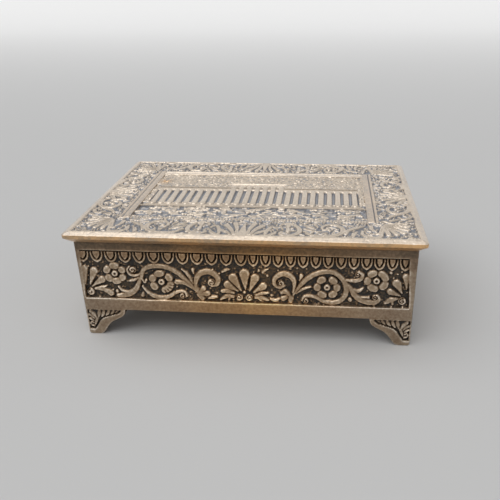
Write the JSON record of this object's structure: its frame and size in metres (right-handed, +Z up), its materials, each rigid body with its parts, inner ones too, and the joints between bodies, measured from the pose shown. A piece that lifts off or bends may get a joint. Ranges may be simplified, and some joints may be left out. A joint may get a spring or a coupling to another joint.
{
  "type": "trinket box",
  "caption": "Rectangular cast brass trinket box on bracket feet, with a wood-lined inside and an overhanging relief lid that opens on a barrel hinge at the back.",
  "frame": {"origin": "on the surface the box stands on, under the middle of the lid", "axes": "+X along the long side to the right, +Y from the front to the hinge at the back, +Z up"},
  "size_m": [0.13, 0.09, 0.0451],
  "materials": {
    "cast_brass": "cast relief, darkened in the hollows and worn bright on the high points",
    "sheet_brass": "rolled sheet, dull",
    "hinge_brass": "drawn tube and wire, satin",
    "braze": "brazed fillet, left as it flowed",
    "cedar": "thin bare boards"
  },
  "bodies": {
    "box_body": {"front_panel": "cast_brass", "back_panel": "cast_brass", "left_panel": "cast_brass", "right_panel": "cast_brass", "floor_plate": "sheet_brass", "foot_gusset_front_left": "braze", "foot_gusset_front_right": "braze", "foot_gusset_back_left": "braze", "foot_gusset_back_right": "braze", "liner_floor": "cedar", "liner_front": "cedar", "liner_back": "cedar", "liner_left": "cedar", "liner_right": "cedar", "hinge_knuckle_1": "hinge_brass", "hinge_knuckle_3": "hinge_brass", "hinge_knuckle_5": "hinge_brass", "hinge_pin": "hinge_brass"},
    "lid": {"lid_plate": "cast_brass", "lid_liner": "cedar", "hinge_knuckle_2": "hinge_brass", "hinge_knuckle_4": "hinge_brass"}
  },
  "joints": [
    {"name": "lid_hinge", "type": "hinge", "parent": "box_body", "child": "lid", "pos_m": [0, 0.0418, 0.04025], "axis": [-1, 0, 0], "range_deg": [0, 105]}
  ]
}
